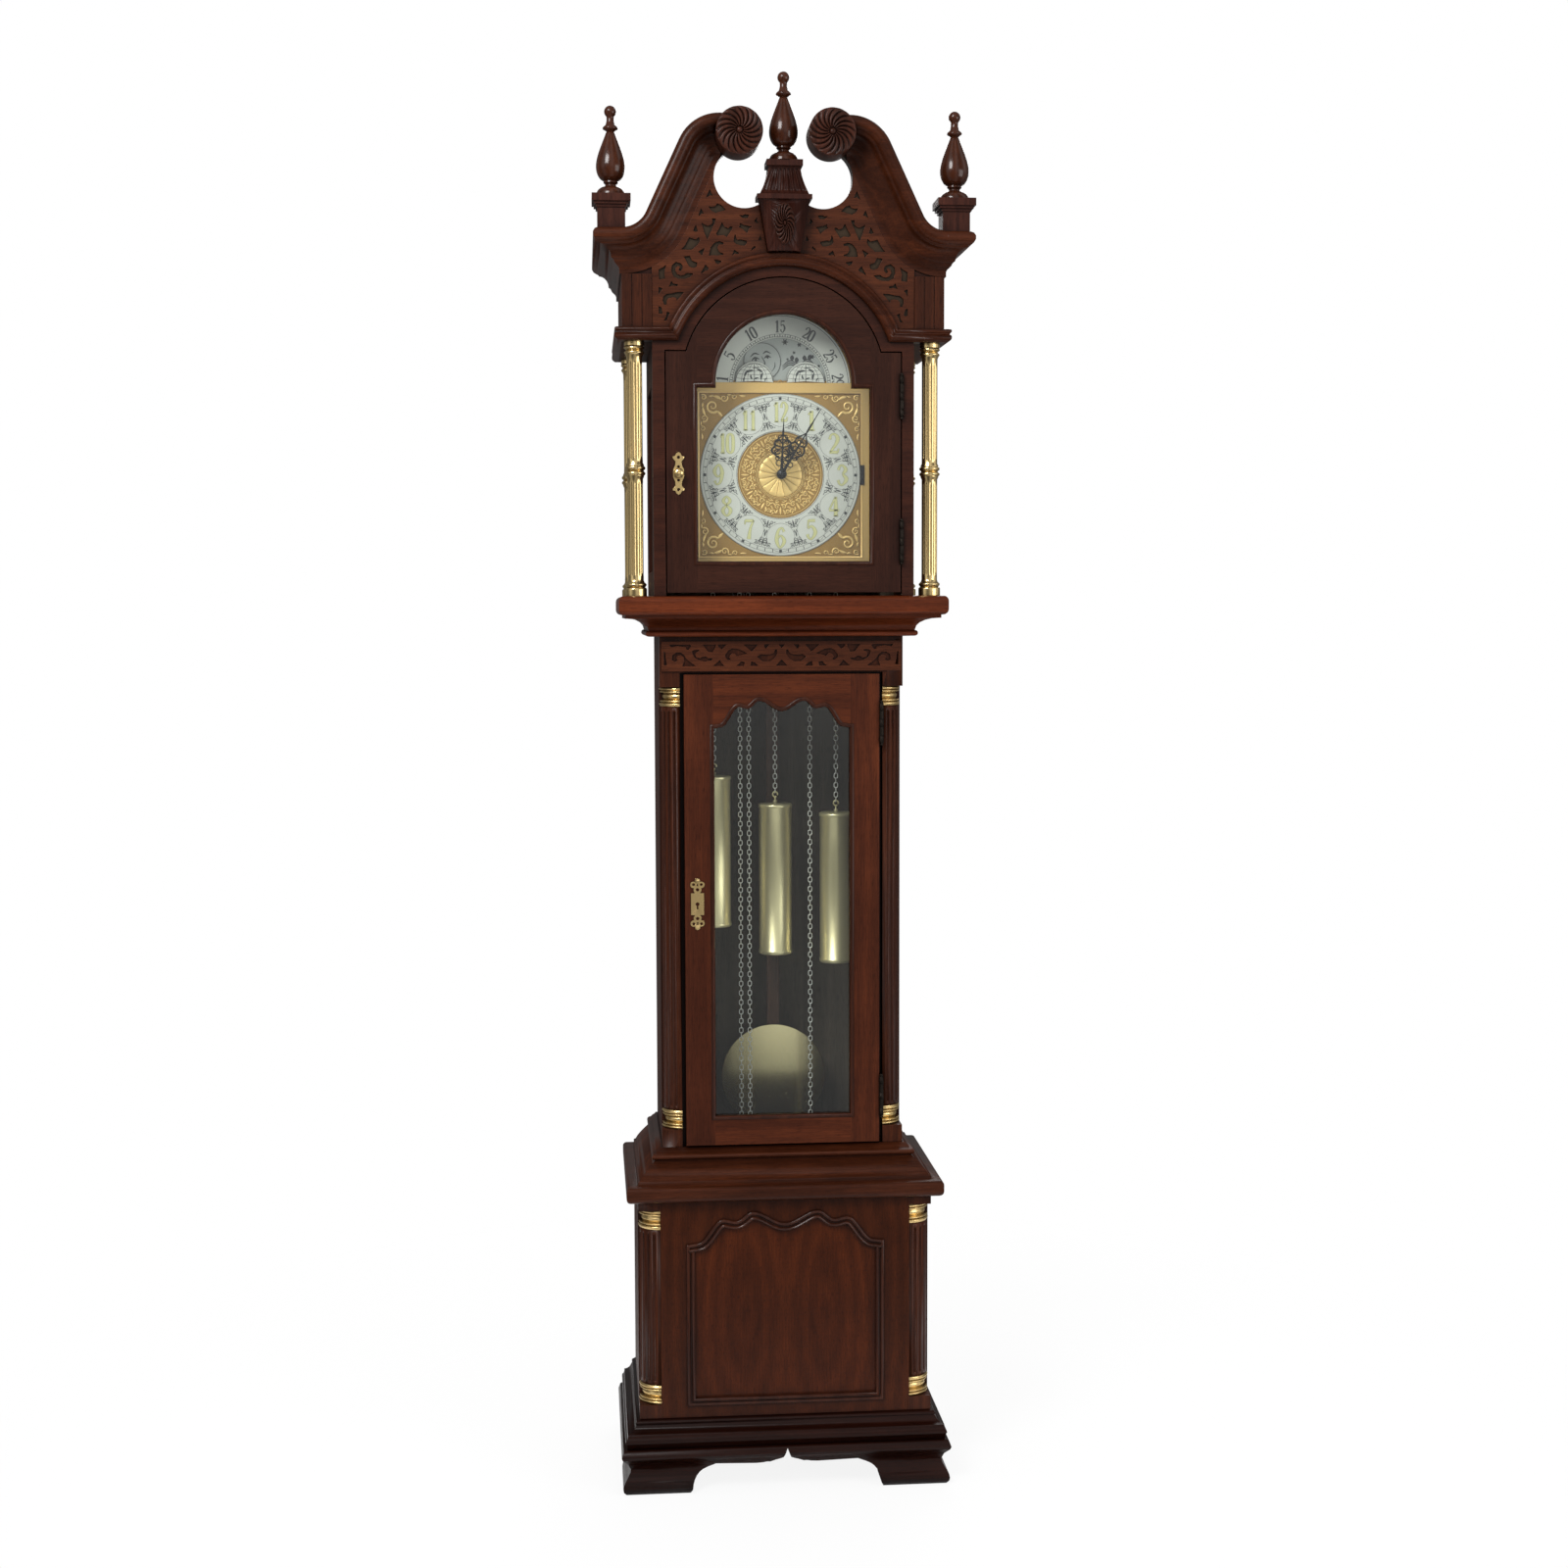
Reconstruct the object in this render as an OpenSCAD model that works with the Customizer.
// Longcase clock with a swan-neck hood, glazed trunk door, three weights and a seconds pendulum.
// Millimetres. The frame's origin is on the floor under the middle of the clock, +Z up, front at -Y.
// Pieces are drawn from the wall plane forward, and in_case() puts them into that frame.

/* [Base] */
// Width of the base box
base_w = 456; // [430:2:490]
// Depth of the base box, wall to front
base_d = 288; // [276:1:300]
// Height of the base box between the feet and the waist board
base_h = 385; // [340:5:430]
// Height of the bracket feet
foot_h = 70; // [62:1:80]
// Length of the flat of a bracket foot along the front
foot_len = 96; // [80:2:110]
// Height of the plinth moulding
plinth_h = 42; // [36:1:48]
// Width of the shaped panel
panel_w = 308; // [280:2:330]
// Height of the shaped panel to its shoulders
panel_h = 256; // [220:2:270]
// Rise of the shaped top above the panel's shoulders
panel_rise = 50; // [40:1:52]

/* [Trunk] */
// Width of the trunk
trunk_w = 376; // [360:2:384]
// Depth of the trunk, wall to front
trunk_d = 248; // [242:1:256]
// Thickness of the waist board
waist_t = 25; // [20:1:30]
// Thickness of the case's side boards
board_t = 18; // [15:1:20]
// Thickness of the back board
back_t = 12; // [8:1:14]
// Width of the trunk door
door_w = 302; // [290:2:304]
// Height of the trunk door
door_h = 733; // [715:1:745]
// Width of the stiles of the trunk door
door_stile = 45; // [38:1:50]
// Thickness of both doors
door_t = 20; // [16:1:22]
// Rise of the shaped top of the trunk door's glass
door_rise = 42; // [30:1:44]
// Height of the bottom rail under the trunk door
door_sill = 53; // [50:1:60]
// Height of the fretted frieze over the trunk door
frieze_h = 46; // [40:1:52]

/* [Hood] */
// Width of the hood box behind the columns
hood_w = 394; // [386:2:400]
// Width of the cornice box over the columns
cornice_w = 484; // [478:2:496]
// Depth of the hood, wall to front
hood_d = 302; // [300:1:310]
// Thickness of the hood's base board
hood_board_t = 29; // [24:1:34]
// Height of the hood's lower box, which is the height of the columns
hood_h = 380; // [372:1:390]
// Height of the impost moulding
impost_h = 19; // [16:1:22]
// Height of the fretted zone between impost and crown at the corners
fret_h = 78; // [70:1:90]
// Height of the crown moulding
crown_h = 63; // [58:1:66]
// Projection of the crown moulding
crown_out = 42; // [36:1:46]
// Rise of the swan necks above the crown
neck_rise = 167; // [160:1:175]
// Radius of the rosettes
rosette_r = 34.5; // [30:0.5:37]
// Radius of the round cut-outs under the rosettes
cutout_r = 45; // [40:1:47]
// Radius of the free-standing column shafts
column_r = 11.8; // [10:0.1:13]
// Height of a turned finial
finial_h = 131; // [110:1:150]

/* [Hood door and dial] */
// Width of the hood door
hood_door_w = 354; // [346:1:356]
// Radius of the arch of the hood door
hood_arch_r = 152; // [148:1:154]
// Width of the hood door's glass opening
sight_w = 262; // [250:1:270]
// Radius of the arch of the hood door's glass opening
sight_arch_r = 103.5; // [98:0.5:106]
// Width of the raised border round the dial
border_w = 16; // [14:1:18]
// Outer radius of the chapter ring
chapter_r = 124; // [110:1:126]
// Inner radius of the chapter ring
centre_r = 66; // [56:1:72]
// Radius of the moon disc
moon_r = 80; // [74:0.5:82]
// Length of the minute hand
minute_len = 116; // [95:1:118]
// Length of the hour hand
hour_len = 84; // [70:1:88]
// Angle of the minute hand past twelve
minute_angle = 31.5; // [0:0.5:359.5]

/* [Movement] */
// Distance between the movement's plates
plate_gap = 66; // [60:1:72]
// Radius of the chain wheels to the middle of the chain
chain_wheel_r = 21; // [20:0.5:22]
// Radius of the weights
weight_r = 27; // [22:0.5:28]
// Length of a weight's brass case
weight_len = 242; // [200:1:260]
// Distance from the pendulum's pivot to the middle of its bob
pendulum_len = 1022; // [1000:1:1040]
// Radius of the pendulum bob
bob_r = 85; // [70:1:88]
// Pitch of the chain, one link to the next
link_pitch = 7.6; // [6.8:0.1:8.4]
// Thickness of the chain's wire
link_wire = 1.3; // [1:0.1:1.5]

/* [Hidden] */
$fn = 48;

// Fits between pieces
slip = 0.3;
door_gap = 3;
pivot_gap = 0.05;

// Heights of the case's stages
throat_h = 33;
throat_gap = 7;
z_base = foot_h;
z_waist = z_base + base_h;
z_trunk = z_waist + waist_t;
door_z = z_trunk + door_sill;
frieze_z = door_z + door_h + door_gap + 2;
z_hood_board = frieze_z + frieze_h + throat_gap + throat_h;
z_hood = z_hood_board + hood_board_t;
z_impost = z_hood + hood_h;
z_fret = z_impost + impost_h;
z_crown = z_fret + fret_h;
z_top = z_crown + crown_h;
z_neck = z_top + neck_rise;

// Half widths
base_hw = base_w / 2;
trunk_hw = trunk_w / 2;
hood_hw = hood_w / 2;
cornice_hw = cornice_w / 2;
panel_hw = panel_w / 2;
door_hw = door_w / 2;
hood_door_hw = hood_door_w / 2;
sight_hw = sight_w / 2;

// Corner posts, their quarter columns and their brasses
base_post = 34;
trunk_post = 31;
post_core = 0.8;
shaft_inset = 2;
flutes = 4;
flute_r = 2.4;
cap_h = 30;
base_foot_block = 63;
base_head_block = 15;
trunk_foot_block = 77;
trunk_head_block = 110;
face_t = 20;
waist_slope = base_hw - trunk_hw;
waist_edge = 18;
hood_edge = 10;

// Arch of the hood: one centre for the sight, the door, the opening and the moulding
arch_z = z_impost - 58;
door_shoulder_z = z_impost - 16;
fret_arch_r = hood_arch_r + 37;
impost_r = fret_arch_r - 20;
impost_out = 11;
sight_z = z_hood + 51;
sight_shoulder_z = z_hood + 312;

// Swan necks
neck_angle = 65;
neck_low_r = 40;
neck_high_r = crown_h + 3;
neck_low_x = cornice_hw;
neck_straight = (neck_rise - (neck_low_r + neck_high_r) * (1 - cos(neck_angle))) / sin(neck_angle);
neck_high_x = neck_low_x - (neck_low_r + neck_high_r) * sin(neck_angle)
    - neck_straight * cos(neck_angle);
rosette_x = neck_high_x - 28;
rosette_z = z_neck - 28;
rosette_out = 54;
cutout_x = rosette_x - 9.6;
cutout_z = rosette_z - 59;
hood_board = 20;

// Whole case
overall_d = hood_d + max(crown_out, rosette_out);
wall_y = overall_d / 2;

// Columns, plinths and pedestal
column_x = hood_hw + 26.5;
column_front = hood_d - 17;
column_back = 36;
column_foot_r = 16.5;
plinth_hw = 20.5;
plinth_x = cornice_hw + 14.5;
plinth_body_h = 30;
plinth_cap_h = 19;
finial_y = hood_d + 6;
keystone_top_hw = 38;
keystone_foot_hw = 24;
pedestal_d = 20;
pedestal_foot_z = cutout_z - cutout_r + 11;
pedestal_cap_z = cutout_z + 14;
pedestal_cap_h = 9;

// Dial
dial_z = z_hood + 185;
dial_setback = 66;
dial_y = hood_d - dial_setback;
dial_t = 2;
ring_t = 1.5;
dial_w = 2 * (chapter_r + border_w);
dial_top_z = dial_z + dial_w / 2;
moon_arch_r = chapter_r - 12;
moon_window_r = moon_r - 2;
globe_r = 27;
globe_x = 39;
hour_y = dial_y + 20;
minute_y = hour_y + 5;
hand_t = 1;
hour_angle = minute_angle / 12;

// Movement
back_plate_y = 90;
front_plate_y = back_plate_y + plate_gap;
plate_t = 3;
train_y = (back_plate_y + front_plate_y) / 2 + 2;
seat_z = z_hood + 39;
seat_t = 18;
plate_hw = 108;
plate_z = seat_z + seat_t;
plate_h = 236;
wheel_z = plate_z + 40;
weight_x = [-98, 0, 98];
wheel_turn = [1, -1, -1];
hung_links = [48, 54, 56];
tail_links = [129, 131, 130];
hook_h = 17;
anchor_z = dial_z + 54;
escape_z = anchor_z - 28;
pendulum_y = 70;
bob_z = anchor_z - pendulum_len;
chime_y = 34;
hammer_z = plate_z + 22;

// Drawn from the wall plane, moved into the part's frame
module in_case() {
    translate([0, wall_y, 0]) children();
}

// A copy on each side of the clock's middle
module both_sides() {
    children();
    mirror([1, 0, 0]) children();
}

// An outline and its mirror image: to the left and right, or above and below
module both_halves() {
    children();
    mirror([1, 0]) children();
}
module both_ends() {
    children();
    mirror([0, 1]) children();
}

// A board between two corners
module board(x0, x1, y0, y1, z0, z1) {
    translate([x0, y0, z0]) cube([x1 - x0, y1 - y0, z1 - z0]);
}

// An outline in x and z, thick in y, from a depth forward
module facing(depth, thick) {
    translate([0, -depth, 0]) rotate([90, 0, 0]) linear_extrude(thick) children();
}

// An outline in y and z, run along x
module along_x(x0, x1) {
    translate([x0, 0, 0]) rotate([90, 0, 90]) linear_extrude(x1 - x0) children();
}

// A cylinder along y, from a depth forward
module rod_y(x, z, depth, len, r) {
    translate([x, -depth, z]) rotate([90, 0, 0]) cylinder(h = len, r = r);
}

function ease(t) = (1 - cos(180 * t)) / 2;
function arc(cx, cy, r, a0, a1, n = 6) =
    [for (i = [0:n]) let (a = a0 + (a1 - a0) * i / n) [cx + r * cos(a), cy + r * sin(a)]];
function sway(p0, z0, p1, z1, n = 5) =
    [for (i = [0:n]) [p0 + (p1 - p0) * ease(i / n), z0 + (z1 - z0) * i / n]];
function flip(points) = [for (i = [len(points) - 1:-1:0]) [-points[i][0], points[i][1]]];

// A moulding of a (projection, height) profile along the front and both sides of a box
module wrap(profile, hw, depth) {
    far = max([for (q = profile) q[0]]) + 1;
    near = min([for (q = profile) q[0]]) - 1;
    low = min([for (q = profile) q[1]]) - 1;
    high = max([for (q = profile) q[1]]) + 1;
    intersection() {
        along_x(-hw - far, hw + far) polygon([for (q = profile) [-depth - q[0], q[1]]]);
        translate([0, 0, low]) linear_extrude(high - low)
            polygon([[-hw - far, -depth - far], [hw + far, -depth - far],
                [hw + near, -depth - near], [-hw - near, -depth - near]]);
    }
    both_sides() intersection() {
        rotate([90, 0, 0]) linear_extrude(depth + far)
            polygon([for (q = profile) [hw + q[0], q[1]]]);
        translate([0, 0, low]) linear_extrude(high - low)
            polygon([[hw + near, -depth - near], [hw + far, -depth - far], [hw + far, 0],
                [hw + near, 0]]);
    }
}

// The shaped top of a panel, from its right shoulder over to its left one
function crest(hw, shoulder, rise) =
    let (shape = [[1, 0], [0.89, 0.04], [0.63, 0.78], [0.5, 0.71], [0.33, 1], [0, 0.62]],
        right = [for (k = [0:4], i = [0:4])
            let (a = shape[k], b = shape[k + 1], t = i / 5)
            [hw * (a[0] + (b[0] - a[0]) * t), shoulder + rise * (a[1] + (b[1] - a[1]) * ease(t))]])
    concat(right, [[0, shoulder + rise * 0.62]], flip(right));

// A panel outline with the shaped top
module crested(hw, z0, shoulder, rise) {
    polygon(concat([[-hw, z0], [hw, z0]], crest(hw, shoulder, rise)));
}

// Ogee bracket feet and aprons, mitred at the front corners, with plain rear brackets
skirt_t = 22;
foot_out = 29;
function skirt_profile() = concat([[-skirt_t, 0], [22, 0], [26, 5]],
    sway(27, 10, 15, foot_h * 0.54), sway(17, foot_h * 0.6, foot_out, foot_h * 0.86, 4),
    [[foot_out - 3, foot_h - 2], [22, foot_h], [-skirt_t, foot_h]]);

// Half of the gap between two feet: cove up from the foot, then the apron's edge to the middle
apron_z = foot_h * 0.62;
function foot_cove(x0) = concat([[0, -1], [x0, -1], [x0 - 4, 7]], arc(x0 - 34, 8, 30, 0, 62, 5),
    [[x0 - 40, apron_z]]);
function front_gap() = concat(foot_cove(base_hw + foot_out - foot_len - 10), [[48, apron_z - 2]],
    arc(30, apron_z - 20, 20, 70, 100, 3), [[12, apron_z + 5], [6, apron_z + 8], [0, foot_h - 3]]);
function side_gap() = concat(foot_cove((base_d + foot_out) / 2 - foot_len), [[0, apron_z]]);

module bracket_feet() {
    color([0.27, 0.12, 0.07]) in_case() {
        difference() {
            wrap(skirt_profile(), base_hw, base_d);
            facing(base_d - skirt_t - 1, skirt_t + foot_out + 2) both_halves()
                polygon(front_gap());
            translate([0, -(base_d + foot_out) / 2, 0]) along_x(-base_w, base_w) both_halves()
                polygon(side_gap());
        }
        both_sides() facing(4, 16) polygon([[base_hw - skirt_t - slip, foot_h],
            [base_hw - skirt_t - slip, 0], [base_hw - skirt_t - 50, 0],
            [base_hw - skirt_t - 90, foot_h]]);
    }
}

module base_floor() {
    hw = base_hw - board_t;
    front = base_hw - base_post;
    color([0.3, 0.17, 0.1]) in_case() translate([0, 0, z_base]) linear_extrude(board_t)
        polygon([[-hw, -back_t], [hw, -back_t], [hw, -base_d + base_post],
            [front, -base_d + base_post], [front, -base_d + face_t], [-front, -base_d + face_t],
            [-front, -base_d + base_post], [-hw, -base_d + base_post]]);
}

function plinth_profile() = let (z1 = z_base + plinth_h, k = plinth_h / 42)
    concat([[0, z_base], [20, z_base]], arc(19, z_base + 12 * k, 4, -70, 70, 4),
        [[19, z_base + 20 * k]], arc(19, z_base + 35 * k, 12, 270, 200, 4),
        [[6.5, z_base + 33 * k]], arc(3, z_base + 37 * k, 3.5, -60, 90, 4), [[0, z1]]);

module plinth_moulding() {
    color([0.27, 0.12, 0.07]) in_case() wrap(plinth_profile(), base_hw, base_d);
}

// Front board of the base, with a sunk field inside the panel moulding
panel_bead = 13;
panel_sink = 2;
panel_z = z_base + 60;
module base_front() {
    hw = base_hw - base_post;
    color([0.4, 0.19, 0.1]) in_case() difference() {
        board(-hw, hw, -base_d, -base_d + face_t, z_base, z_waist);
        facing(base_d - panel_sink, panel_sink + 1)
            crested(panel_hw - panel_bead, panel_z + panel_bead,
                panel_z + panel_h - panel_bead, panel_rise);
    }
}

// Double bead round the panel
module base_panel_moulding() {
    color([0.25, 0.11, 0.06]) in_case() {
        for (bead = [[0, 5.5, 4], [5.5, 7.5, 2.5], [7.5, panel_bead, 5.5]])
            facing(base_d, bead[2]) difference() {
                crested(panel_hw - bead[0], panel_z + bead[0], panel_z + panel_h - bead[0],
                    panel_rise);
                crested(panel_hw - bead[1], panel_z + bead[1], panel_z + panel_h - bead[1],
                    panel_rise);
            }
    }
}

// Side boards of the base and of the trunk
module case_sides() {
    color([0.3, 0.14, 0.08]) in_case() both_sides() {
        board(base_hw - board_t, base_hw, -base_d + base_post, 0, z_base, z_waist);
        board(trunk_hw - board_t, trunk_hw, -trunk_d + trunk_post, 0, z_trunk, z_hood_board);
    }
}

// A corner post with a fluted quarter column between two necks that carry the brasses
module quarter_post(hw, depth, size, z0, foot, head, z1) {
    shaft_r = size - shaft_inset;
    core_r = size * post_core;
    x = hw - size;
    y = -depth + size;
    low = z0 + foot;
    top = z1 - head;
    board(x, hw, -depth, y, z0, low);
    board(x, hw, -depth, y, top, z1);
    intersection() {
        translate([x, y, low]) difference() {
            union() {
                cylinder(h = top - low, r = core_r);
                translate([0, 0, cap_h]) cylinder(h = top - low - 2 * cap_h, r = shaft_r);
            }
            for (i = [1:flutes])
                rotate([0, 0, -90 * i / (flutes + 1)]) translate([shaft_r + 0.8, 0, cap_h + 8])
                    cylinder(h = top - low - 2 * cap_h - 16, r = flute_r, $fn = 24);
        }
        board(x, hw + 1, -depth - 1, y, low, top);
    }
}

module corner_columns() {
    color([0.29, 0.13, 0.08]) in_case() both_sides() {
        quarter_post(base_hw, base_d, base_post, z_base, base_foot_block, base_head_block, z_waist);
        quarter_post(trunk_hw, trunk_d, trunk_post, z_trunk, trunk_foot_block, trunk_head_block,
            z_hood_board);
    }
}

// One brass: a quarter ring with three beads, seated round a post's neck
module quarter_brass(hw, depth, size, z0) {
    core = size * post_core + 0.1;
    r = size;
    k = cap_h / 30;
    translate([hw - size, -depth + size, z0]) rotate([0, 0, -90]) rotate_extrude(angle = 90)
        polygon(concat([[core, 0], [r - 1.5, 0]], arc(r - 1.5, 4 * k, 1.5, -70, 90, 3),
            [[r - 3, 7.5 * k]], sway(r - 3.5, 9 * k, r - 4.5, 12 * k, 2),
            arc(r - 3, 14.5 * k, 2, -80, 80, 4), sway(r - 4.5, 18 * k, r - 3.5, 21 * k, 2),
            [[r - 3, 22.5 * k]], arc(r - 1.5, 26 * k, 1.5, -90, 70, 3),
            [[r - 1.5, cap_h], [core, cap_h]]));
}

module column_brasses() {
    color([0.83, 0.63, 0.26]) in_case() both_sides() {
        quarter_brass(base_hw, base_d, base_post, z_base + base_foot_block);
        quarter_brass(base_hw, base_d, base_post, z_waist - base_head_block - cap_h);
        quarter_brass(trunk_hw, trunk_d, trunk_post, z_trunk + trunk_foot_block);
        quarter_brass(trunk_hw, trunk_d, trunk_post, z_hood_board - trunk_head_block - cap_h);
    }
}

// Rounded waist board, and the sloping moulding that stands on it
function waist_edge_profile() = let (e = waist_edge, z0 = z_waist, z1 = z_trunk)
    concat([[-base_hw + trunk_hw - board_t, z0]], arc(e - 9, z0 + 9, 9, -90, 0, 5),
        arc(e - 6, z1 - 6, 6, 0, 90, 4), [[-base_hw + trunk_hw - board_t, z1]]);
function waist_slope_profile() = let (w = waist_slope, z = z_trunk)
    concat([[0, z], [w, z], [w, z + 5]],
        [for (i = [0:6]) [w - 3 - (w - 16) * i / 6, z + 6 + 26 * pow(i / 6, 0.8)]],
        arc(13, z + 38, 4.5, -80, 80, 4), sway(11, z + 43, 3, z + 50, 3), [[0, z + 50]]);

module waist_moulding() {
    color([0.31, 0.13, 0.07]) in_case() {
        wrap(waist_edge_profile(), base_hw, base_d);
        wrap(waist_slope_profile(), trunk_hw, trunk_d);
    }
}

// Front frame of the trunk: the door lies on it, under the frieze and over the bottom rail
frame_back = 14;
frame_t = 18;
module trunk_frame() {
    hw = trunk_hw - trunk_post;
    color([0.28, 0.13, 0.08]) in_case() {
        difference() {
            board(-hw, hw, -trunk_d + frame_back, -trunk_d + frame_back + frame_t, z_trunk,
                z_hood_board);
            board(-door_hw + 26, door_hw - 26, -trunk_d, 0, door_z + 27, door_z + door_h - 26);
        }
        board(-hw, hw, -trunk_d, -trunk_d + frame_back, z_trunk, door_z - door_gap);
        board(-hw, hw, -trunk_d, -trunk_d + frame_back, door_z + door_h + door_gap, z_hood_board);
    }
}

// Back board, wide in the base, narrow in the trunk, wide again in the cornice box
module back_board() {
    b = base_hw - board_t;
    t = trunk_hw - board_t;
    h = hood_hw - side_t;
    c = cornice_hw - side_t;
    color([0.2, 0.17, 0.15]) in_case() facing(0, back_t) polygon([[-b, z_base], [b, z_base],
        [b, z_waist], [t, z_waist], [t, z_hood_board], [t, z_hood], [h, z_hood], [h, z_fret],
        [c, z_fret], [c, z_top - 12], [-c, z_top - 12], [-c, z_fret], [-h, z_fret], [-h, z_hood],
        [-t, z_hood], [-t, z_waist], [-b, z_waist]]);
}

// Cuts in the right half of the tympanum, from the keystone outwards: x from the clock's middle,
// height over the impost moulding
fret_t = 3;
fret_edge = 4;
fret_cuts = [
    [[39, 163], [40, 158], [37, 154], [41, 154], [44, 157]],
    [[34, 138], [34, 133], [32, 129], [38, 129], [36, 133]],
    [[43, 121], [42, 118], [49, 113], [48, 117]],
    [[67, 166], [61, 165], [58, 167], [51, 166], [54, 161], [61, 161]],
    [[66, 154], [59, 151], [47, 149], [51, 147], [55, 139], [60, 144], [67, 148], [65, 151]],
    [[72, 138], [74, 134], [75, 127], [71, 123], [64, 121], [58, 121], [55, 125], [55, 128],
        [61, 129], [65, 130], [69, 129], [71, 132]],
    [[74, 115], [67, 110], [68, 108], [74, 109], [78, 105], [77, 107]],
    [[92, 155], [88, 148], [83, 146], [79, 149], [76, 148], [77, 145], [85, 133], [90, 136],
        [99, 135], [101, 138], [95, 148]],
    [[104, 100], [93, 98], [94, 96], [98, 93], [102, 95]],
    [[112, 178], [107, 177], [102, 178], [99, 182], [93, 180], [86, 173], [92, 171], [102, 168],
        [109, 172]],
    [[110, 203], [105, 192], [109, 194], [116, 190]],
    [[112, 106], [109, 118], [103, 125], [96, 127], [90, 125], [90, 122], [97, 122], [99, 117],
        [96, 111], [90, 109], [90, 107], [99, 106]],
    [[123, 154], [118, 151], [113, 149], [110, 150], [106, 154], [107, 160], [101, 160],
        [102, 156], [114, 129], [118, 138]],
    [[117, 93], [112, 87], [114, 84], [118, 83], [124, 78], [123, 82], [120, 87]],
    [[118, 117], [120, 111], [122, 105], [125, 109], [128, 111], [125, 113]],
    [[123, 175], [119, 167], [122, 167], [127, 163], [126, 168]],
    [[131, 151], [128, 141], [132, 140], [135, 142], [133, 147]],
    [[126, 133], [125, 127], [128, 122], [137, 114], [153, 114], [147, 121], [141, 132],
        [135, 130], [131, 129]],
    [[149, 104], [140, 105], [137, 98], [129, 95], [130, 89], [135, 87], [141, 89], [144, 94]],
    [[154, 94], [161, 96], [167, 91], [168, 83], [165, 75], [158, 71], [148, 71], [140, 74],
        [135, 79], [145, 80], [149, 77], [154, 76], [159, 78], [162, 83], [161, 88], [157, 90],
        [155, 88], [157, 84], [154, 82], [151, 86], [151, 91]],
    [[168, 68], [165, 64], [158, 63], [159, 60], [165, 61], [172, 59], [170, 63]],
    [[149, 52], [154, 46], [160, 39], [161, 43], [166, 44], [172, 43], [175, 39], [175, 33],
        [179, 33], [181, 39], [180, 45], [175, 49], [166, 50], [158, 52]],
    [[175, 23], [170, 21], [173, 16], [175, 10], [180, 9], [176, 15]],
    [[175, 92], [178, 81], [177, 71], [186, 70], [187, 84], [180, 88]],
    [[187, 59], [181, 57], [183, 54], [187, 48]],
    [[187, 31], [183, 29], [181, 21], [182, 19], [187, 20]]];

// Cuts in the right half of the frieze, from the middle outwards, and the two in its middle
frieze_cuts = [
    [[38, 22], [32, 26], [24, 25], [16, 26], [12, 28], [10, 33], [7, 33], [7, 26], [11, 20],
        [18, 15], [30, 15]],
    [[27, 41], [18, 41], [22, 37], [24, 34], [27, 37]],
    [[59, 41], [36, 41], [46, 30], [52, 35]],
    [[48, 8], [47, 15], [41, 13], [36, 8]],
    [[71, 8], [66, 11], [63, 15], [57, 14], [58, 8]],
    [[87, 22], [87, 25], [82, 32], [76, 35], [67, 34], [60, 31], [53, 27], [62, 25], [69, 23],
        [72, 27], [76, 28], [79, 25], [81, 21], [78, 18], [82, 17], [85, 19]],
    [[99, 41], [85, 41], [89, 37], [92, 34], [96, 36]],
    [[106, 8], [100, 13], [95, 17], [92, 12], [88, 8]],
    [[122, 41], [101, 41], [102, 37], [105, 32], [106, 29], [113, 30], [118, 36]],
    [[138, 31], [134, 33], [127, 33], [127, 31], [132, 29], [133, 25], [131, 21], [125, 20],
        [123, 22], [117, 23], [113, 20], [106, 20], [108, 17], [118, 15], [127, 17], [134, 21],
        [137, 26]],
    [[173, 41], [141, 41], [139, 39], [143, 33], [147, 34], [147, 37], [160, 39], [170, 37]],
    [[169, 17], [168, 25], [162, 29], [155, 29], [149, 24], [148, 21], [143, 16], [132, 8],
        [153, 8], [150, 16], [151, 22], [155, 25], [160, 24], [162, 21], [160, 17], [164, 15]],
    [[181, 31], [179, 29], [178, 20], [176, 10], [181, 9]]];
frieze_middle = [[[-5, 41], [5, 41], [0, 35]], [[-9, 8], [9, 8], [0, 18]]];

module tympanum(margin) {
    difference() {
        intersection() {
            neck_field(-margin - crown_h);
            translate([keystone_foot_hw, z_fret])
                square([hood_hw - keystone_foot_hw - margin, z_neck - z_fret]);
        }
        translate([0, arch_z]) circle(fret_arch_r + margin);
        translate([cutout_x, cutout_z]) circle(cutout_r + margin);
        polygon([[-1, z_crown - 60], [keystone_foot_hw + margin, z_crown - 60],
            [keystone_foot_hw + margin, pedestal_low_z], [keystone_top_hw + margin, pedestal_foot_z],
            [keystone_top_hw + margin, z_neck], [-1, z_neck]]);
        translate([-1, z_fret - 1]) square([cornice_hw, margin + 1]);
    }
}
pedestal_low_z = arch_z + fret_arch_r - 2;

// Hood front above the soffits, its edge moved out or in from the necks' top edge
module neck_field(grow) {
    low = neck_low_r - grow;
    high = max(neck_high_r + grow, 1);
    low_z = z_top + neck_low_r;
    high_z = z_neck - neck_high_r;
    right = concat([[cornice_hw, z_impost]], arc(neck_low_x, low_z, low, 270, 270 - neck_angle, 9),
        arc(neck_high_x, high_z, high, 90 - neck_angle, 90, 9), [[neck_high_x - 40, high_z + high]]);
    polygon(concat(right, flip(right)));
}

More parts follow.
